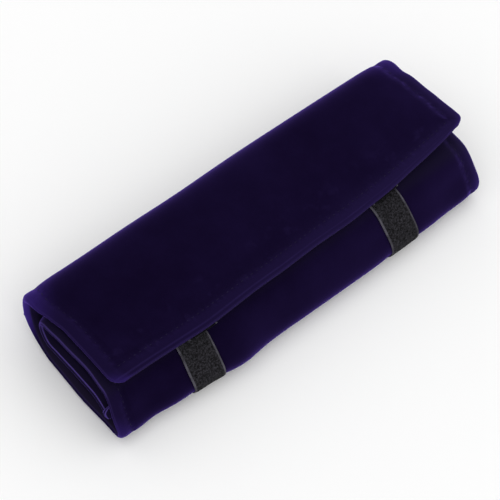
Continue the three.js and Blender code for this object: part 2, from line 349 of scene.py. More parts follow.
# %% Thickness of the velvet and lining halves
EDGE_RISE = 18 * MM
SWELL_CAP = 1 * MM
PLUMP = 0.9 * MM
GROOVE_DEPTH = 0.25 * MM
GROOVE_WIDTH = 1.5 * MM
RESTING_SHARES = (0.75, 0.97)
BUNCHED_HALF_THICKNESS = 4.2 * MM
BUNCHED_REACH_SHARE = 0.45
BUNCHED_DEGREES = 20


def rise(distance, width):
    """A quarter of a round, from 0 to 1."""
    return math.sqrt(1 - (1 - clamped(distance / width)) ** 2)


def smooth_step(value, low, high):
    """From 0 to 1, level at both ends."""
    share = clamped((value - low) / (high - low))
    return share * share * (3 - 2 * share)


def hill(distance, reach):
    """1 at distance 0, and falling away on both sides."""
    return math.exp(-((distance / reach) ** 2))


def front_distance(place):
    """Distance behind the flap's front edge."""
    return max(strip_point(place)[0] + FLAP_REACH, 0) if place > RUN["flap"] else STRIP_LENGTH


def bunched_share(place):
    """1 where the ends of the back turn bunch up most."""
    return max(1 - abs(place - turn_place("back", BUNCHED_DEGREES)) / BUNCHED_REACH_SHARE, 0)


def strip_half(x, place):
    """Half of the strip's thickness, before the padding swells."""
    y = strip_point(place)[0]
    from_inner_end = INNER_END_REACH - y if place < RUN["tight_fold"] else STRIP_LENGTH
    edge_distance = min(side_distance(x), from_inner_end, front_distance(place))
    on_fold = RUN["tight_fold"] <= place <= RUN["base"]
    fold_distance = 0 if on_fold else y - strip_point(RUN["tight_fold"])[0]
    near_fold = rise(fold_distance, TIGHT_FOLD_RISE) if place < RUN["inner_back"] else 1
    thin_half = between(EDGE_HALF_THICKNESS, BUNCHED_HALF_THICKNESS, bunched_share(place))
    edge_half = between(thin_half, HALF_THICKNESS, rise(edge_distance, EDGE_RISE))
    return min(edge_half, between(TIGHT_FOLD_HALF_THICKNESS, HALF_THICKNESS, near_fold))


def panel_height(x, length):
    """The simulated height between the four nearest points of the panel."""
    across = (x / ROLL_LENGTH + 1 / 2) * PANEL_COLUMNS
    along = length / STRIP_LENGTH * PANEL_ROWS
    column = clamped(int(across), 0, PANEL_COLUMNS - 1)
    row = clamped(int(along), 0, PANEL_ROWS - 1)
    near, far = (
        between(*heights[column:column + 2], across - column) for heights in panel_heights[row:row + 2]
    )
    return between(near, far, along - row)


def groove(distance):
    return GROOVE_DEPTH * hill(distance - STITCH_INSET, GROOVE_WIDTH)


def velvet_top(x, place):
    """Height of the velvet's face over the middle of the strip."""
    lift = SWELL_CAP * math.tanh(panel_height(x, strip_length(place)) / SWELL_CAP)
    on_outer_turn = RUN["front"] < place < RUN["bottom"] or RUN["back"] < place < RUN["flap"]
    turn_share = math.sin(math.pi * (place % 1)) if on_outer_turn else 0
    lift += PLUMP * turn_share * (1 - (x / HALF_LENGTH) ** 2)
    off_table = 1 - smooth_step(-strip_point(place)[3], *RESTING_SHARES)
    depth = max(groove(side_distance(x)), groove(front_distance(place)))
    return strip_half(x, place) + lift * off_table - depth


print("velvet half way up the back stands in mm:", round(velvet_top(0, RUN["back"] + 0.5) / MM, 2))

# %% [markdown]
# ## From the strip to the roll
#
# One function takes a point of the strip to its place on the roll: x along the roll, the place
# along the strip, and the height over the strip's middle. The flap's skew, its bowed and wavy
# front edge, and its raised, rounded corners are part of it. So are the layers of the coil,
# which have slid against each other and spread, draw in or sag towards its two ends, and the
# front, which the closed flap presses flat. The velvet, lining, tapes and stitches all go
# through it, which keeps them together.

# %% The flap's own shape
FLAP_SKEW_SHARE = 0.047
FLAP_BOW = 4.4 * MM
FLAP_CORNER_LIFT = 4 * MM
FLAP_RIGHT_LIFT = 1.2 * MM
FLAP_CORNER_RADIUS = 6 * MM
WAVE_HEIGHT = 1.3 * MM
WAVE_LENGTH = 190 * MM
WAVE_MIDDLE = -20 * MM
RIPPLE_HEIGHT = 0.5 * MM
RIPPLE_LENGTH = 26 * MM
LEFT_DRAW = 1.9 * MM
LEFT_DRAW_MIDDLE = -112 * MM
LEFT_DRAW_REACH = 28 * MM


def flap_offset(x, place):
    """How the flap departs from a plain flat run."""
    share = clamped(place - RUN["flap"])
    corner_share = (x / HALF_LENGTH) ** 2
    right_share = (max(x, 0) / HALF_LENGTH) ** 2
    ripple = RIPPLE_HEIGHT * noise.noise(Vector((x / RIPPLE_LENGTH, 0, 0)))
    wave = WAVE_HEIGHT * math.cos(2 * math.pi * (x - WAVE_MIDDLE) / WAVE_LENGTH) + ripple
    draw = LEFT_DRAW * hill(x - LEFT_DRAW_MIDDLE, LEFT_DRAW_REACH)
    forward = FLAP_SKEW_SHARE * x - FLAP_BOW * (1 - corner_share) + share**2 * (wave + draw)
    lift = FLAP_CORNER_LIFT * corner_share + FLAP_RIGHT_LIFT * right_share
    return Vector((0, share * forward, share**2 * lift))


def corner_inset(place):
    """How far the flap's two ends draw in round its front corners."""
    short = FLAP_CORNER_RADIUS - min(front_distance(place), FLAP_CORNER_RADIUS)
    return FLAP_CORNER_RADIUS - math.sqrt(FLAP_CORNER_RADIUS**2 - short**2)


# %% How the layers lie towards the coil's two ends
# Each row is a place on the strip, and then in millimetres how far the layer's ends spread
# outward, how far the layer slides to the right, and how far its ends move back and up.
LAYER_SHAPE = (
    (0, -7, 0, 0, 0),
    (1, -6, 0, 0, -4),
    (1.5, 0.8, 0, 4.5, -4.5),
    (2, -1.5, 0, 1, -3.5),
    (2.3, -2.8, 0, 0.5, -2),
    (2.6, -3.2, 0, 0, -3.2),
    (3, -2.8, 0, -4, -3.2),
    (3.3, -1.9, 0, -4, -4.1),
    (4, 0, 0, -4, -1.5),
    (4.3, 0.3, 0.9, -1, -0.7),
    (4.75, 0.5, 1.9, 0, 0),
    (5, 1.2, 1.4, 0, 0),
    (5.5, 2.9, 1, 0, 0),
    (6, 0.8, 1, 0, 0),
    (6.45, 1.2, 0.4, 0, 0),
    (7, 0.5, 0.4, 0, 0),
    (7.6, -0.15, 1.45, 0, 0),
    (8, 1.3, 0, 0, 0),
    (8.15, 1.45, 2.45, 0, 0),
    (8.3, 0.85, 3.6, 0, 0),
    (8.55, 1.3, 4.1, 0, 0),
    (9, 2, 4.4, 0, 0),
)
SHAPE_PLACES = [row[0] for row in LAYER_SHAPE]
END_POWER = 4


def layer_offset(x, place):
    """How a layer spreads, slides, shifts and sags at x."""
    number = min(bisect.bisect_right(SHAPE_PLACES, place), len(SHAPE_PLACES) - 1)
    before, after = LAYER_SHAPE[number - 1], LAYER_SHAPE[number]
    share = smooth_step(place, before[0], after[0])
    spread_out, slide, back, lift = (between(*pair, share) for pair in zip(before[1:], after[1:]))
    end_share = abs(x / HALF_LENGTH) ** END_POWER
    return Vector((spread_out * x / HALF_LENGTH + slide, back * end_share, lift * end_share)) * MM


# %% Where the outer turns are pressed flat or bulge
FRONT_PRESS = 3 * MM
FRONT_PRESS_END_SHARE = 0.72
# Each lump is the x of its middle, its reach along the roll and its height, in millimetres.
FRONT_LUMPS = ((-110, 13, -3), (-51, 15, 2.7), (112, 20, -2.3))
BACK_LUMPS = ((-95, 38, -1.3), (-28, 32, -1.2))


def turn_lift(x, place):
    """How far an outer turn stands off its plain curve."""
    number = math.floor(place)
    share = place - number
    if number not in (RUN["front"], RUN["back"]):
        return 0
    lumps = FRONT_LUMPS if number == RUN["front"] else BACK_LUMPS
    lift = sum(height * hill(x / MM - middle, reach) for middle, reach, height in lumps)
    press_share = min(share / FRONT_PRESS_END_SHARE, 1) if number == RUN["front"] else 0
    return lift * MM * math.sin(math.pi * share) - FRONT_PRESS * math.sin(math.pi * press_share) ** 2


# %% A point on the rolled strip
def roll_point(x, place, height, outward=0):
    """outward moves a point off the strip's inner end or off the flap's front edge."""
    y, z, normal_y, normal_z = strip_point(place)
    front_share = rise(front_distance(place), EDGE_RISE)
    droop = (HALF_THICKNESS - EDGE_HALF_THICKNESS) * (1 - front_share)
    off_middle = height - droop + turn_lift(x, place)
    along = outward if place < RUN["tight_fold"] else -outward
    point = Vector((
        x * (1 - corner_inset(place) / HALF_LENGTH),
        y + normal_y * off_middle + along,
        z + normal_z * off_middle,
    ))
    return point + flap_offset(x, place) + layer_offset(x, place)


print("the flap's front corners in mm:")
for x in (-HALF_LENGTH, HALF_LENGTH):
    print("  ", [round(v / MM, 1) for v in roll_point(x, FLAP_END, 0)])

# %% [markdown]
# ## A sheet that becomes a slab
#
# Every cloth piece starts the same way: a flat grid is extruded into a closed unit slab, its rim
# is cut into a few levels, and each vertex is moved to its place on the roll. The rim's middle
# levels are pushed out a little, and a Subdivision modifier turns them into the round fold of a
# turned-in edge. Where a piece only meets the next one and has no hem, its edge is creased and
# shaded sharp, so that the two surfaces touch and no line shows between them.

# %% Rows and columns of a slab
ROW_STEP = 3.2 * MM
COLUMN_STEP = 4 * MM
TURN_STEP_DEGREES = 11.25
EDGE_SHARES = (0, 0.02, 0.06, 0.14, 0.26)
STITCH_STEPS = (-1.5, 0, 1.5)
EDGE_DISTANCES = [share * EDGE_RISE for share in EDGE_SHARES]
EDGE_DISTANCES += [STITCH_INSET + steps * GROOVE_WIDTH for steps in STITCH_STEPS]


def spread(values, low, high, least):
    """Sorted values from low to high, none closer together than least."""
    kept = [low]
    for value in sorted(values):
        if value - kept[-1] > least and high - value > least:
            kept.append(value)
    return kept + [high]


def columns_between(left, right, step):
    values = [side * (HALF_LENGTH - distance) for distance in EDGE_DISTANCES for side in (-1, 1)]
    count = math.ceil((right - left) / step)
    values += [left + (right - left) * number / count for number in range(count)]
    return spread(values, left, right, least=0.3 * MM)


def rows_between(start, end):
    values = []
    for number in RUN.values():
        if is_turn(number):
            count = round(HALF_TURN / TURN_STEP_DEGREES)
        else:
            run_length = strip_length(number + 1) - strip_length(number)
            count = math.ceil(run_length / ROW_STEP)
        values += [number + step / count for step in range(count)]
    values += [flat_place("inner", INNER_END_REACH - distance) for distance in EDGE_DISTANCES]
    values += [flat_place("flap", distance - FLAP_REACH) for distance in EDGE_DISTANCES]
    return spread(values, start, end, least=0.004)


print("columns of the whole strip:", len(columns_between(-HALF_LENGTH, HALF_LENGTH, COLUMN_STEP)))
print("rows of the whole strip:", len(rows_between(0, FLAP_END)))

# %% A slab bent along the spiral
RIM_LEVELS = (0.3, 0.7)
RIM_ROUNDNESS = 0.5


def unit_slab(column_count, row_count):
    """A closed slab from 0 to 1 in height, cut into columns, rows and rim levels."""
    bm = bmesh.new()
    bmesh.ops.create_grid(bm, x_segments=column_count, y_segments=row_count, size=0.5)
    raised = bmesh.ops.extrude_face_region(bm, geom=bm.faces[:], use_keep_orig=True)
    top = [item for item in raised["geom"] if isinstance(item, bmesh.types.BMVert)]
    bmesh.ops.translate(bm, verts=top, vec=(0, 0, 1))
    bmesh.ops.recalc_face_normals(bm, faces=bm.faces[:])
    for level in RIM_LEVELS:
        geometry = bm.verts[:] + bm.edges[:] + bm.faces[:]
        bmesh.ops.bisect_plane(bm, geom=geometry, plane_co=(0, 0, level), plane_no=(0, 0, 1))
    return bm


def bent_slab(name, sides, ends, low, high, hems=(False, False), shift=None, step=COLUMN_STEP):
    """low and high give the two faces' heights at x and place, hems says which ends are free
    edges, and shift gives how far the piece slides along the roll at each place."""
    columns = columns_between(*sides, step)
    rows = rows_between(*ends)
    last_column, last_row = len(columns) - 1, len(rows) - 1
    bm = unit_slab(last_column, last_row)
    strip_uv = bm.loops.layers.uv.new("strip")
    crease = bm.edges.layers.float.new("crease_edge")
    spots = {}
    for vert in bm.verts:
        column = round((vert.co.x + 1 / 2) * last_column)
        row = round((vert.co.y + 1 / 2) * last_row)
        spots[vert] = (column, row, vert.co.z)
    cut_rows = [row for row, hem in zip((0, last_row), hems) if not hem]
    for edge in bm.edges:
        if all(spots[vert][1] in cut_rows for vert in edge.verts):
            edge[crease] = 1
            edge.smooth = False
    middle = sum(sides) / 2
    cloth_spots = {}
    for vert, (column, row, share) in spots.items():
        x = columns[column] + (shift(rows[row]) if shift else 0)
        place = rows[row]
        bottom, top = low(x, place), high(x, place)
        bulge = RIM_ROUNDNESS * (top - bottom) * 4 * share * (1 - share)
        down_rim = (1 - share) * (top - bottom)
        side = (column == last_column) - (column == 0)
        end = (row == last_row and hems[1]) - (row == 0 and hems[0])
        across = columns[column] - middle + side * down_rim
        cloth_spots[vert] = (across, strip_length(place) + end * down_rim)
        vert.co = roll_point(x, place, between(bottom, top, share), bulge if end else 0)
        vert.co.x += side * bulge
    for face in bm.faces:
        for loop in face.loops:
            loop[strip_uv].uv = cloth_spots[loop.vert]
    bmesh.ops.recalc_face_normals(bm, faces=bm.faces[:])
    return make_piece(name, bm, smooth_level=1)


# %% [markdown]
# ## Velvet and lining
#
# Cloth over a hinge has to bend with it, and a piece can follow two bodies at most. So the
# strip is three stretches: the coil, the lower back, which holds the lower fold, and the
# flap, which holds the upper fold. They meet on the underside and half way up the back.
# Each stretch is an outer half of velvet and an inner half of lining, and their seam runs
# along the rim. At the two ends of the roll the velvet is turned round the edge, so there the
# seam lies lower, under the rim.

# %% Ends of the three stretches
UNDERSIDE_SEAM_Y = 5 * MM
BACK_SEAM_DEGREES = -5
UNDERSIDE_SEAM = flat_place("bottom", UNDERSIDE_SEAM_Y)
BACK_SEAM = turn_place("back", BACK_SEAM_DEGREES)
# Each row has a stretch's two ends, and then which of them is a hem.
STRETCHES = {
    "body": ((0, UNDERSIDE_SEAM), (True, False)),
    "back": ((UNDERSIDE_SEAM, BACK_SEAM), (False, False)),
    "flap": ((BACK_SEAM, FLAP_END), (False, True)),
}
for name, (ends, hems) in STRETCHES.items():
    start, end = map(strip_length, ends)
    print(f"{name}: {round((end - start) / MM)} mm of the strip, hems: {sum(hems)}")

# %% Both halves of each stretch
WHOLE_LENGTH = (-HALF_LENGTH, HALF_LENGTH)
SEAM_GAP = 0.05 * MM
SEAM_DROP_REACH = 3 * MM
SEAM_SHARE = 0.6
BUNCHED_SEAM_SHARE = 0.9


def seam_height(x, place):
    """Where velvet and lining meet, over the middle of the strip."""
    seam_share = between(SEAM_SHARE, BUNCHED_SEAM_SHARE, bunched_share(place))
    return -seam_share * strip_half(x, place) * max(1 - side_distance(x) / SEAM_DROP_REACH, 0)


def velvet_low(x, place):
    return seam_height(x, place) + SEAM_GAP


def lining_low(x, place):
    return -strip_half(x, place)


def lining_high(x, place):
    return seam_height(x, place) - SEAM_GAP


velvets = {}
linings = {}
for name, (ends, hems) in STRETCHES.items():
    velvets[name] = bent_slab(f"{name}_velvet", WHOLE_LENGTH, ends, velvet_low, velvet_top, hems)
    linings[name] = bent_slab(f"{name}_inside", WHOLE_LENGTH, ends, lining_low, lining_high, hems)

# %% [markdown]
# ## Fastening tapes
#
# Hook and loop tape is a narrow woven ribbon with two firm selvedges and a field of pile
# between them. The loop tapes are sewn to the velvet and follow it down the front, a little
# askew. The hook tapes lie under the flap, out to its edge, where a sliver of the left one
# shows beside its loop tape. The pile stands a little above the selvedges, so each tape is a
# slab whose face is lower along its two sides.

# %% Loop tapes and hook tapes
SELVEDGE_WIDTH = 1.1 * MM
SELVEDGE_STEP = 0.25 * MM
TAPE_COLUMN_STEP = 0.75 * MM
HOOK_TAPE_SHIFT = -3.5 * MM
HOOK_TAPE_INSET = -0.7 * MM
HOOK_TAPE_END = 39 * MM


def lining_face(x, place):
    """Where a piece lies on the lining."""
    return -strip_half(x, place) - SEAT_GAP


def pile_height(off_middle):
    from_side = TAPE_WIDTH / 2 - abs(off_middle)
    return SELVEDGE_STEP * (smooth_step(from_side, SELVEDGE_WIDTH / 2, SELVEDGE_WIDTH * 3 / 2) - 1)


def tape_band(name, middle, ends, low, high, shift=None):
    sides = (middle - TAPE_WIDTH / 2, middle + TAPE_WIDTH / 2)
    return bent_slab(name, sides, ends, low, high, shift=shift, step=TAPE_COLUMN_STEP)


def loop_tape(side, middle):
    def low(x, place):
        return velvet_top(x, place) + SEAT_GAP

    def high(x, place):
        return low(x, place) + TAPE_THICKNESS + pile_height(x - middle - tape_shift(place))

    ends = (LOOP_TAPE_START, LOOP_TAPE_END)
    return tape_band(f"{side}_loop_band", middle, ends, low, high, tape_shift)


def hook_tape(side, middle):
    def low(x, place):
        return lining_face(x, place) - TAPE_THICKNESS - pile_height(x - middle)

    ends = [flat_place("flap", y - FLAP_REACH) for y in (HOOK_TAPE_END, HOOK_TAPE_INSET)]
    return tape_band(f"{side}_hook_band", middle, ends, low, lining_face)


loop_tapes = {side: loop_tape(side, middle) for side, middle in TAPE_MIDDLES.items()}
hook_tapes = {side: hook_tape(side, middle + HOOK_TAPE_SHIFT) for side, middle in TAPE_MIDDLES.items()}

# %% [markdown]
# ## Stitches
#
# A row of short stitches runs inside the roll's two ends and the flap's front edge. Each is a
# small icosphere, pulled long and half sunk in the groove of its row. There are hundreds, so
# each has only twenty faces.

# %% One stitch, and rows of them
STITCH_PITCH = 3.6 * MM
STITCH_LENGTH = 2.3 * MM
STITCH_WIDTH = 0.5 * MM
STITCH_SINK = 0.1 * MM


def add_stitch(bm, back, front):
    """A stitch between two spots on the velvet."""
    along = front[0] - back[0]
    up = (back[1] + front[1]).normalized()
    side = along.cross(up).normalized()
    size = Matrix.Diagonal((along.length / 2, STITCH_WIDTH / 2, STITCH_WIDTH / 2, 1))
    turn = Matrix((along.normalized(), side, up)).transposed().to_4x4()
    middle = Matrix.Translation((back[0] + front[0]) / 2)
    bmesh.ops.create_icosphere(bm, subdivisions=1, radius=1, matrix=middle @ turn @ size)


def velvet_spot(x, place):
    """A point on the velvet and the direction out of it."""
    height = velvet_top(x, place) - STITCH_SINK
    point = roll_point(x, place, height)
    return point, (roll_point(x, place, height + MM) - point).normalized()


def stitch_across(bm, place):
    """A row that runs along the roll, from one end to the other."""
    reach = HALF_LENGTH - STITCH_INSET
    for number in range(int(2 * reach / STITCH_PITCH)):
        x = -reach + number * STITCH_PITCH
        add_stitch(bm, velvet_spot(x, place), velvet_spot(x + STITCH_LENGTH, place))


def stitch_side(bm, x, start, end):
    """A row that runs along the strip, beside one end of the roll."""
    first, last = strip_length(start), strip_length(end)
    for number in range(int((last - first) / STITCH_PITCH)):
        length = first + number * STITCH_PITCH
        places = place_at(length), place_at(length + STITCH_LENGTH)
        add_stitch(bm, *(velvet_spot(x, place) for place in places))


INNER_STITCH_ROW = flat_place("inner", INNER_END_REACH - STITCH_INSET)
FLAP_STITCH_ROW = flat_place("flap", STITCH_INSET - FLAP_REACH)
stitches = {}
for name, (ends, _) in STRETCHES.items():
    bm = bmesh.new()
    for x in (STITCH_INSET - HALF_LENGTH, HALF_LENGTH - STITCH_INSET):
        stitch_side(bm, x, max(ends[0], INNER_STITCH_ROW), min(ends[1], FLAP_STITCH_ROW))
    if name == "flap":
        stitch_across(bm, FLAP_STITCH_ROW)
    stitches[name] = make_piece(f"{name}_stitches", bm)

# %% [markdown]
# ## Zip pockets
#
# Inside, two zip pockets lie on the lining. The photograph can't show them, so they are the
# plain kind that such rolls have. A pocket is one flat cloth, laid along the lining. A zip is a
# woven tape with two rows of plastic teeth that mesh along its middle. Each tooth is a small
# bevelled block of twenty-six faces, and every second one reaches to the other side.

# %% Pocket cloths
POCKET_THICKNESS = 0.8 * MM
POCKET_WAVE_LENGTH = 30 * MM
POCKET_THINNING = 0.25 * MM


def pocket_face(x, place):
    wave = noise.noise(Vector((x, strip_length(place), 0)) / POCKET_WAVE_LENGTH)
    return lining_face(x, place) - POCKET_THICKNESS + POCKET_THINNING * (1 + wave) / 2


pockets = {}
pocket_sizes = {}
for name, level in (("lower", "bottom"), ("upper", "middle")):
    low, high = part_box(f"{name}_pocket")
    sides = (low[0], high[0])
    ends = sorted(flat_place(level, y) for y in (low[1], high[1]))
    pockets[name] = bent_slab(f"{name}_pocket_cloth", sides, ends, pocket_face, lining_face)
    pocket_sizes[name] = (high[0] - low[0], high[1] - low[1])
    print(name, "pocket in mm:", [round(size / MM) for size in pocket_sizes[name]])

# %% Zip tapes and their teeth
ZIP_TAPE_THICKNESS = 0.45 * MM
TOOTH_PITCH = 1.5 * MM
TOOTH_LENGTH = 0.95 * MM
TOOTH_REACH = 2.4 * MM
TOOTH_OFFSET = 0.8 * MM
TOOTH_HEIGHT = 0.75 * MM


def add_block(bm, size, x, y, z):
    place = Matrix.Translation((x, y, z)) @ Matrix.Diagonal((*size, 1))
    bmesh.ops.create_cube(bm, size=1, matrix=place)


def soften(bm, offset, segments):
    """Bevels every edge."""
    settings = {"segments": segments, "profile": 0.5, "affect": "EDGES", "material": -1}
    bmesh.ops.bevel(bm, geom=bm.edges[:], offset=offset, **settings)


def zip_tape(name, seat, up, low, high):
    bm = bmesh.new()
    size = (high[0] - low[0], high[1] - low[1], ZIP_TAPE_THICKNESS)
    add_block(bm, size, 0, (low[1] + high[1]) / 2, seat + up * ZIP_TAPE_THICKNESS / 2)
    soften(bm, offset=0.12 * MM, segments=2)
    return make_piece(f"{name}_zip_tape", bm)


def zip_chain(name, seat, up, low, high):
    bm = bmesh.new()
    z = seat + up * (ZIP_TAPE_THICKNESS + TOOTH_HEIGHT / 2)
    for number in range(int((high[0] - low[0]) / TOOTH_PITCH)):
        side = 1 if number % 2 else -1
        x = low[0] + (number + 1 / 2) * TOOTH_PITCH
        y = (low[1] + high[1]) / 2 + side * TOOTH_OFFSET
        add_block(bm, (TOOTH_LENGTH, TOOTH_REACH, TOOTH_HEIGHT), x, y, z)
    soften(bm, offset=0.2 * MM, segments=1)
    return make_piece(f"{name}_zip_teeth", bm)


zip_tapes = {}
zip_chains = {}
for name, up in (("lower", 1), ("upper", -1)):
    low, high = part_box(f"{name}_zip")
    seat = low[2] if up > 0 else high[2]
    zip_tapes[name] = zip_tape(name, seat, up, low, high)
    zip_chains[name] = zip_chain(name, seat, up, low, high)

# %% [markdown]
# ## Materials
#
# A material is a small program of nodes. The class Value lets a sum or product of two values
# add the Math node that works it out, so a pattern reads like a formula. The class Finish is a
# material with a Principled shader. Its methods are short names for the nodes that these
# finishes use most.

# %% Values that build Math nodes
class Value:
    """A socket's value inside a material."""

    def __init__(self, finish, socket):
        self.finish = finish
        self.socket = socket

    def math(self, operation, first, second=None):
        sockets = {0: first} if second is None else {0: first, 1: second}
        return self.finish.node("ShaderNodeMath", {"operation": operation}, sockets)

    def __add__(self, other):
        return self.math("ADD", self, other)

    __radd__ = __add__

    def __sub__(self, other):
        return self.math("SUBTRACT", self, other)

    def __rsub__(self, other):
        return self.math("SUBTRACT", other, self)

    def __mul__(self, other):
        return self.math("MULTIPLY", self, other)

    __rmul__ = __mul__

    def absolute(self):
        return self.math("ABSOLUTE", self)

    def wave(self, length):
        """A sine wave from 0 to 1 that repeats over a length."""
        return self.math("SINE", self * (2 * math.pi / length)) * 0.5 + 0.5

    def least(self, other):
        return self.math("MINIMUM", self, other)

    def most(self, other):
        return self.math("MAXIMUM", self, other)


# %% A material and its nodes
class Finish:
    """A Principled material. The sockets given at the start are the same all over it."""

    def __init__(self, name, sockets):
        self.material = bpy.data.materials.new(name)
        self.material.use_nodes = True
        self.tree = self.material.node_tree
        self.shader = self.tree.nodes["Principled BSDF"]
        self.connect(self.shader, sockets)

    def connect(self, node, sockets):
        for key, value in sockets.items():
            if isinstance(value, Value):
                self.tree.links.new(value.socket, node.inputs[key])
            else:
                node.inputs[key].default_value = value

    def node(self, kind, settings=None, sockets=None, output=0):
        node = self.tree.nodes.new(kind)
        for key, value in (settings or {}).items():
            setattr(node, key, value)
        self.connect(node, sockets or {})
        return Value(self, node.outputs[output])

    def place(self):
        return self.node("ShaderNodeTexCoord", output="Object")

    def along_strip(self):
        """x along the roll, and length along the strip, from the piece's own UV map."""
        return self.split(self.node("ShaderNodeUVMap", {"uv_map": "strip"}))

    def split(self, vector):
        """The first two coordinates of a vector."""
        node = self.node("ShaderNodeSeparateXYZ", sockets={0: vector}).socket.node
        return Value(self, node.outputs["X"]), Value(self, node.outputs["Y"])

    def stretched(self, vector, scale):
        return self.node("ShaderNodeMapping", sockets={"Vector": vector, "Scale": scale})

    def noise(self, vector, size, detail=2.0, roughness=0.5):
        """Noise whose lumps are about one size across."""
        sockets = {"Vector": vector, "Scale": 1 / size, "Detail": detail, "Roughness": roughness}
        return self.node("ShaderNodeTexNoise", sockets=sockets, output="Fac")

    def specks(self, vector, spacing, radius):
        """1 in small round specks, each somewhere in its own cell."""
        sockets = {"Vector": vector, "Scale": 1 / spacing}
        distance = self.node("ShaderNodeTexVoronoi", sockets=sockets, output="Distance")
        return 1 - self.ramp(distance, 0, radius / spacing)

    def ramp(self, value, low, high):
        """0 below low, 1 above high, and smooth between them."""
        sockets = {"Value": value, "From Min": low, "From Max": high}
        return self.node("ShaderNodeMapRange", {"interpolation_type": "SMOOTHSTEP"}, sockets)

    def mix(self, factor, first, second):
        """Two colours, mixed by a factor."""
        sockets = {0: factor, 6: first, 7: second}
        return self.node("ShaderNodeMix", {"data_type": "RGBA"}, sockets, output=2)

    def bump(self, height, distance, strength=1.0, under=None):
        sockets = {"Height": height, "Distance": distance, "Strength": strength}
        if under:
            sockets["Normal"] = under
        return self.node("ShaderNodeBump", sockets=sockets)

    def cover(self, pattern, dark, light, normal):
        """Colours the surface between two colours by a pattern, and gives it its relief."""
        self.connect(self.shader, {"Base Color": self.mix(pattern, dark, light), "Normal": normal})


# %% [markdown]
# ### Velvet
#
# Velvet is a pile of short fibres that stand up from the cloth. Seen from above, light goes in
# between them and is lost, so the cloth is almost black. At a grazing angle the fibres' sides
# light up, so every rounded edge gets a bright violet rim. The Principled shader's sheen does
# just this. Under it the colour varies where the pile has been stroked, and the coil's inner
# layers, seen only in shade, get a painted shade tone, duller and greyer. Painted highlights are
# laid over that along the hems, beside them, along the flap's front edge and at the corners, with
# real marks of handling, as shares of two colours. Each has a function below.

# %% Colours of the pile
PILE_DARK = (0.0033, 0.0016, 0.0095, 1)
PILE_LIGHT = (0.0064, 0.0034, 0.0205, 1)
# The next colour is for the painted highlights along the hems, beside them and along the flap's front
# edge, and for the real marks of handling.
PILE_HIGHLIGHT_AND_MARK = (0.075, 0.048, 0.23, 1)
# The next colour is the painted highlight at the roll's corners.
PILE_CORNER_HIGHLIGHT = (0.032, 0.0155, 0.145, 1)
# The next colour is a painted shade tone, duller and greyer, for the coil's inner layers, which are seen
# only in shade.
PILE_SHADE_TONE = (0.0085, 0.0062, 0.019, 1)
PILE_SHEEN = (0.3, 0.17, 1.0, 1)
LINING_DARK = (0.0075, 0.0055, 0.013, 1)
LINING_LIGHT = (0.012, 0.009, 0.021, 1)
LINT = (0.3, 0.27, 0.36, 1)

# %% Turns along which the finish changes
# Round the inner back turn the hem's painted highlight falls off, on the tight fold it begins (the
# inner layer lies in shade), and on the front turn the painted shade tone gives way to plain pile.
CHANGE_SHARES = {"inner_back": (0.2, 0.9), "tight_fold": (0.1, 0.4), "front": (0, 0.18)}


def changed(finish, length, name):
    """0 before a change and 1 after it."""
    return finish.ramp(length, *(strip_length(RUN[name] + share) for share in CHANGE_SHARES[name]))


# %% Painted highlight along the turned hems
HEM_MIDDLE = 0.15 * MM
HEM_REACH = 0.45 * MM
UNCOVERED_HEM_SHARE = 0.11
MIDDLE_HEM_SHARE = 0.45
BASE_HEM_SHARE = 1.0
MEAN_NOISE = 0.5


def hem_light(finish, from_edge, length, pile, covered):
    """Painted highlight over the fold of a hem, most of all in the coil's lower layer."""
    off_hem = (from_edge + HEM_MIDDLE + (pile - MEAN_NOISE) * HEM_REACH).absolute()
    on_hem = 1 - finish.ramp(off_hem, HEM_REACH / 3, HEM_REACH)
    in_base = 1 - changed(finish, length, "inner_back")
    share = covered * (MIDDLE_HEM_SHARE - UNCOVERED_HEM_SHARE) + UNCOVERED_HEM_SHARE
    share = share + in_base * (BASE_HEM_SHARE - MIDDLE_HEM_SHARE)
    return on_hem * share * changed(finish, length, "tight_fold")


# %% Painted sheen beside the hems
LEFT_MARGIN_SHARE = 0.02
RIGHT_MARGIN_SHARE = 0.08


def margin_light(finish, x, margin_sheen):
    """Painted sheen: the cloth between hem and stitches is painted lighter, more so to the right."""
    to_right = finish.ramp(x, -HALF_LENGTH, HALF_LENGTH)
    return margin_sheen * (to_right * (RIGHT_MARGIN_SHARE - LEFT_MARGIN_SHARE) + LEFT_MARGIN_SHARE)


# %% Painted highlight along the flap's front edge
EDGE_SEAM_INSET = 1.7 * MM
EDGE_SEAM_REACH = 0.9 * MM
EDGE_SEAM_SHARE = 0.17
EDGE_SEAM_GAP_SHARE = 0.3


def seam_light(finish, from_front, stroke, pile):
    """A painted highlight: an uneven light line, just behind the edge, where the turned-in cloth ends.
    """
    on_seam = 1 - finish.ramp((from_front - EDGE_SEAM_INSET).absolute(), 0, EDGE_SEAM_REACH)
    return on_seam * (stroke + pile - EDGE_SEAM_GAP_SHARE) * EDGE_SEAM_SHARE


# %% Marks of handling behind the flap's front edge
MARK_SHARE = 0.05


def mark_light(finish, place, from_front):
    marks = finish.ramp(finish.noise(place, size=8 * MM, detail=2), low=0.55, high=0.75)
    return marks * MARK_SHARE * (1 - finish.ramp(from_front, low=6 * MM, high=30 * MM))


# %% Painted highlights at the roll's corners
# Each row is the middle of a painted highlight, as a place on the strip, how far it reaches and its
# share.
CORNER_LIGHTS = (
    (turn_place("back", 60), 30 * MM, 0.6),
    (turn_place("back", 0), 26 * MM, 1.3),
    (turn_place("front", 200), 20 * MM, 0.35),
    (FLAP_END, 14 * MM, 0.4),
)


def corner_light(finish, from_side, length):
    """Painted highlights at the two ends of the outer turns, where the velvet catches the light."""
    light = 0
    for fold, reach, share in CORNER_LIGHTS:
        off_corner = (length - strip_length(fold)).absolute() + from_side.most(0)
        near_corner = 1 - finish.ramp(off_corner, 0, reach)
        light = (near_corner * near_corner * share).most(light)
    return light


# %% Velvet finish
STROKE_SIZE = 26 * MM
STROKE_SHARE = 0.6
CLOUD_SHARE = 0.5
PILE_SHARE = 0.25


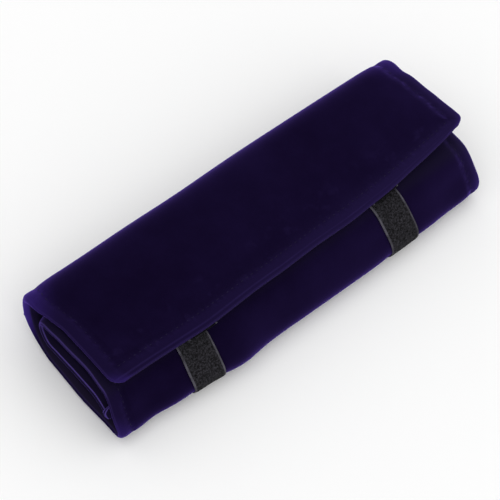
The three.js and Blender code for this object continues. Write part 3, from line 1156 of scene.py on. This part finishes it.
def velvet_finish(name, dark, light, sheen, corner_highlight_share, lint_share):
    finish = Finish(name, {
        "Roughness": 0.95,
        "Specular IOR Level": 0.0,
        "Sheen Weight": sheen,
        "Sheen Roughness": 0.4,
        "Sheen Tint": PILE_SHEEN,
    })
    place = finish.place()
    x, length = finish.along_strip()
    from_side = HALF_LENGTH - x.absolute()
    from_front = STRIP_LENGTH - length
    from_edge = from_side.least(from_front).least(length)
    pile = finish.noise(place, size=0.45 * MM, detail=3)
    stroke = finish.noise(place, STROKE_SIZE, detail=4, roughness=0.6)
    cloud = finish.noise(place, size=80 * MM, detail=1)
    uneven = stroke * STROKE_SHARE + cloud * CLOUD_SHARE + pile * PILE_SHARE
    # Painted sheen: the margin between hem and stitches is painted lighter, in the base colour and as a
    # share of the highlight colour.
    margin_sheen = 1 - finish.ramp(from_edge, low=STITCH_INSET / 4, high=STITCH_INSET * 2)
    # covered is 1 on the coil's inner layers, seen only in shade: they get the painted shade tone and
    # stronger painted hem highlights.
    covered = 1 - changed(finish, length, "front")
    lighter = finish.ramp(uneven, low=0.35, high=0.95).most(margin_sheen)
    shade = finish.mix(covered, finish.mix(lighter, dark, light), PILE_SHADE_TONE)
    # Painted highlights on the hems, beside them and along the flap's front edge, with the real marks of
    # handling.
    highlights_and_marks = hem_light(finish, from_edge, length, pile, covered)
    highlights_and_marks = highlights_and_marks.most(margin_light(finish, x, margin_sheen))
    highlights_and_marks = highlights_and_marks.most(seam_light(finish, from_front, stroke, pile))
    highlights_and_marks = highlights_and_marks.most(mark_light(finish, place, from_front))
    # Painted highlights at the roll's corners.
    corner_highlight = corner_light(finish, from_side, length) * (pile + stroke) * corner_highlight_share
    colour = finish.mix(corner_highlight, finish.mix(highlights_and_marks, shade, PILE_HIGHLIGHT_AND_MARK), PILE_CORNER_HIGHLIGHT)
    lint = finish.specks(place, spacing=42 * MM, radius=0.45 * MM) * lint_share
    near_row = 1 - finish.ramp((from_edge - STITCH_INSET).absolute(), low=0, high=4 * MM)
    pucker = finish.noise(place, size=4 * MM, detail=1) * near_row
    relief = finish.bump(stroke, distance=1.5 * MM, strength=0.25)
    relief = finish.bump(pucker, distance=1.3 * MM, under=relief)
    relief = finish.bump(pile, distance=0.12 * MM, strength=0.6, under=relief)
    finish.cover(lint, colour, LINT, relief)
    return finish.material


velvet = velvet_finish("velvet", PILE_DARK, PILE_LIGHT, sheen=0.5, corner_highlight_share=1.0, lint_share=0.8)
lining = velvet_finish(
    "lining_velvet", LINING_DARK, LINING_LIGHT, sheen=0.3, corner_highlight_share=0.1, lint_share=0
)
print("velvet has", len(velvet.node_tree.nodes), "nodes")

# %% [markdown]
# ### Tapes
#
# A loop tape's pile is a mat of fine tangled loops, so it looks grey and grainy. Its selvedges
# are woven flat, lighter, with a fine rib. A hook tape has rows of small stiff hooks instead.

# %% Finishes of the fastening tapes
LOOP_DARK = (0.002, 0.002, 0.0024, 1)
LOOP_LIGHT = (0.043, 0.041, 0.05, 1)
SELVEDGE_DARK = (0.012, 0.011, 0.014, 1)
SELVEDGE_LIGHT = (0.12, 0.115, 0.14, 1)
SELVEDGE_ENDS = (TAPE_WIDTH / 2 - SELVEDGE_WIDTH, TAPE_WIDTH / 2 - SELVEDGE_WIDTH / 2)
RIB_PITCH = 0.6 * MM
RIB_SHARE = 0.4
RIB_RELIEF_SHARE = 0.5
HOOK_PITCH = 1.2 * MM


def tape_finish(name, pile_pattern, dark, light):
    finish = Finish(name, {"Roughness": 0.9, "Specular IOR Level": 0.1})
    x, length = finish.along_strip()
    pile = pile_pattern(finish, x, length)
    rib = length.wave(RIB_PITCH)
    on_selvedge = finish.ramp(x.absolute(), *SELVEDGE_ENDS)
    pile_colour = finish.mix(finish.ramp(pile, low=0.36, high=0.76), dark, light)
    worn = finish.ramp(finish.noise(finish.place(), size=7 * MM), low=0.3, high=0.7)
    ribbed = rib * RIB_SHARE + worn * (1 - RIB_SHARE)
    selvedge_colour = finish.mix(ribbed, SELVEDGE_DARK, SELVEDGE_LIGHT)
    relief = pile * (1 - on_selvedge) + rib * on_selvedge * RIB_RELIEF_SHARE
    finish.cover(on_selvedge, pile_colour, selvedge_colour, finish.bump(relief, distance=0.4 * MM))
    return finish.material


def tangled_loops(finish, x, length):
    return finish.noise(finish.place(), size=1.1 * MM, detail=4, roughness=0.75)


def rows_of_hooks(finish, x, length):
    return x.wave(HOOK_PITCH) * length.wave(HOOK_PITCH)


loop_pile = tape_finish("loop_pile", tangled_loops, LOOP_DARK, LOOP_LIGHT)
hook_pile = tape_finish("hook_pile", rows_of_hooks, LOOP_DARK, SELVEDGE_DARK)

# %% [markdown]
# ### Thread, pocket cloth and zips
#
# The thread is dyed like the velvet but has no pile, so it shows as small lighter dashes. The
# pockets are a plain satin, woven finely. The zip's tape is a coarse twill, its teeth are nylon,
# and its sliders are brass, worn lighter in soft patches.

# %% Thread of the stitches
THREAD_DARK = (0.005, 0.003, 0.016, 1)
THREAD_LIGHT = (0.018, 0.012, 0.048, 1)
thread = Finish("thread", {"Roughness": 0.7, "Specular IOR Level": 0.1})
fibres = thread.noise(thread.place(), size=0.35 * MM)
thread.cover(fibres, THREAD_DARK, THREAD_LIGHT, thread.bump(fibres, distance=0.1 * MM))

# %% Satin of the pockets
SATIN_DARK = (0.006, 0.004, 0.018, 1)
SATIN_LIGHT = (0.018, 0.012, 0.05, 1)
WEAVE_PITCH = 0.5 * MM
WEAVE_SHARE = 0.5
satin = Finish("pocket_satin", {"Roughness": 0.5, "Sheen Weight": 0.2, "Sheen Tint": PILE_SHEEN})
satin_x, satin_length = satin.along_strip()
weave = satin_x.wave(WEAVE_PITCH) * satin_length.wave(WEAVE_PITCH)
fold = satin.noise(satin.place(), STROKE_SIZE)
folded = weave * WEAVE_SHARE + fold * (1 - WEAVE_SHARE)
satin_relief = satin.bump(fold, distance=1 * MM, strength=0.3)
satin_relief = satin.bump(weave, distance=0.06 * MM, under=satin_relief)
satin.cover(folded, SATIN_DARK, SATIN_LIGHT, satin_relief)

# %% Twill and nylon of the zips
TWILL_DARK = (0.006, 0.005, 0.014, 1)
TWILL_LIGHT = (0.022, 0.018, 0.045, 1)
twill = Finish("zip_twill", {"Roughness": 0.85, "Specular IOR Level": 0.2})
twill_x, twill_y = twill.split(twill.place())
twill_rib = (twill_x + twill_y).wave(RIB_PITCH)
twill.cover(twill_rib, TWILL_DARK, TWILL_LIGHT, twill.bump(twill_rib, distance=0.15 * MM))

NYLON_DARK = (0.01, 0.008, 0.022, 1)
NYLON_LIGHT = (0.03, 0.024, 0.06, 1)
nylon = Finish("zip_nylon", {"Roughness": 0.4, "Specular IOR Level": 0.4})
cloud = nylon.noise(nylon.place(), size=2 * MM, detail=3)
nylon.cover(cloud, NYLON_DARK, NYLON_LIGHT, nylon.bump(cloud, distance=0.1 * MM, strength=0.4))

# %% Brass of the sliders
BRASS_DARK = (0.45, 0.31, 0.1, 1)
BRASS_LIGHT = (0.72, 0.55, 0.25, 1)
SCRATCH_STRETCH = (1, 12, 12)
LEAST_ROUGHNESS = 0.2
SCRATCH_ROUGHNESS = 0.25
brass = Finish("slider_brass", {"Metallic": 1.0})
scratches = brass.noise(brass.stretched(brass.place(), SCRATCH_STRETCH), size=1.5 * MM, detail=4)
wear = brass.noise(brass.place(), size=4 * MM)
brass.cover(wear, BRASS_DARK, BRASS_LIGHT, brass.bump(scratches, distance=0.05 * MM, strength=0.4))
brass.connect(brass.shader, {"Roughness": scratches * SCRATCH_ROUGHNESS + LEAST_ROUGHNESS})

# %% [markdown]
# ## Putting it together
#
# Each piece now gets its material, and the CAD nodes that it stands for are hidden. The coil's
# stretch and its stitches move with the roll's body, and the lower back and the flap stay as they
# lie. Two points either side of each fold are found, but nothing bends round them.

# %% Materials and bodies of the strip
LOWER_FOLD_DEGREES = -45
UPPER_FOLD_DEGREES = 35
BEND_REACH_DEGREES = 29


def fold_ends(degrees):
    """Two points on the back turn, a bend's reach either side of a fold behind the roll."""
    places = [turn_place("back", degrees + side * BEND_REACH_DEGREES) for side in (-1, 1)]
    return [(0, *strip_point(place)[:2]) for place in places]


LOWER_FOLD_ENDS = fold_ends(LOWER_FOLD_DEGREES)
UPPER_FOLD_ENDS = fold_ends(UPPER_FOLD_DEGREES)


def move_with_stretch(piece, name):
    if name == "body":
        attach(piece, "roll_body")
    elif name == "back":
        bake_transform(piece)
    else:
        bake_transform(piece)


STOOD_FOR = {
    "body": ("body_shell", "inner_end_pad", "inner_base_pad", "middle_pad", "front_pad", "bottom_pad"),
    "back": ("back_shell", "back_pad"),
    "flap": ("flap_shell", "flap_pad"),
}
for name in STRETCHES:
    layers = ((velvets[name], velvet), (linings[name], lining), (stitches[name], thread.material))
    for piece, material in layers:
        piece.data.materials.append(material)
        move_with_stretch(piece, name)
    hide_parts(*STOOD_FOR[name])
    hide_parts(f"{name}_lining")

# %% Materials and bodies of the tapes, pockets and zips
def settle(piece, body, material, node=None):
    piece.data.materials.append(material)
    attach(piece, body)
    if node:
        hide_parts(node)


for side in TAPE_MIDDLES:
    settle(loop_tapes[side], "roll_body", loop_pile, f"{side}_loop_tape")
    settle(hook_tapes[side], "flap_panel", hook_pile, f"{side}_hook_tape")
for name, pocket_size in pocket_sizes.items():
    settle(pockets[name], "roll_body", satin.material, f"{name}_pocket")
    settle(zip_tapes[name], "roll_body", twill.material, f"{name}_zip")
    settle(zip_chains[name], "roll_body", nylon.material)
    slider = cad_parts[f"{name}_zip_slider"]
    slider.data.materials.clear()
    slider.data.materials.append(brass.material)

# %% [markdown]
# ## Floor and light
#
# The object stands in an evenly lit white studio. The world gives soft light of strength 1 from
# everywhere, at which a colour renders about as it is written. The floor is plain white and
# keeps the object's soft contact shadow.

# %% Floor and world
PAPER_DARK = (0.99, 0.99, 0.99, 1)
WHITE = (1, 1, 1, 1)
bm = bmesh.new()
bmesh.ops.create_grid(bm, x_segments=1, y_segments=1, size=3)
floor = make_piece("floor", bm)
floor_finish = Finish("floor_paper", {"Roughness": 1.0, "Specular IOR Level": 0.0})
paper = floor_finish.noise(floor_finish.place(), size=300 * MM)
floor_finish.connect(floor_finish.shader, {"Base Color": floor_finish.mix(paper, PAPER_DARK, WHITE)})
floor.data.materials.append(floor_finish.material)

world = bpy.data.worlds.new("studio")
world.use_nodes = True
world.node_tree.nodes["Background"].inputs["Color"].default_value = WHITE
world.node_tree.nodes["Background"].inputs["Strength"].default_value = 1
scene.world = world

# %% [markdown]
# ## Camera
#
# The camera looks down on the roll over its left front corner, turned a little about its own
# axis, through a long lens. Its angles were fitted to the roll's outline in the photograph. A
# small lens shift frames the object as the photograph does.

# %% Camera
CAMERA_AIM = (0, -5.5 * MM, 1.7 * MM)
CAMERA_DISTANCE = 1.4043
CAMERA_AZIMUTH = -55
CAMERA_ELEVATION = 58.64
CAMERA_ROLL = 16.35


def turned(degrees, axis):
    return Matrix.Rotation(math.radians(degrees), 4, axis)


camera_data = bpy.data.cameras.new("camera")
camera_data.sensor_width = 36
camera_data.lens = 179.54
camera_data.shift_x, camera_data.shift_y = -0.0198, 0.0337
camera = bpy.data.objects.new("camera", camera_data)
scene.collection.objects.link(camera)
aimed = Matrix.Translation(CAMERA_AIM) @ turned(CAMERA_AZIMUTH, "Z") @ turned(90 - CAMERA_ELEVATION, "X")
camera.matrix_world = aimed @ turned(CAMERA_ROLL, "Z") @ Matrix.Translation((0, 0, CAMERA_DISTANCE))
scene.camera = camera
scene.view_settings.view_transform = "Standard"
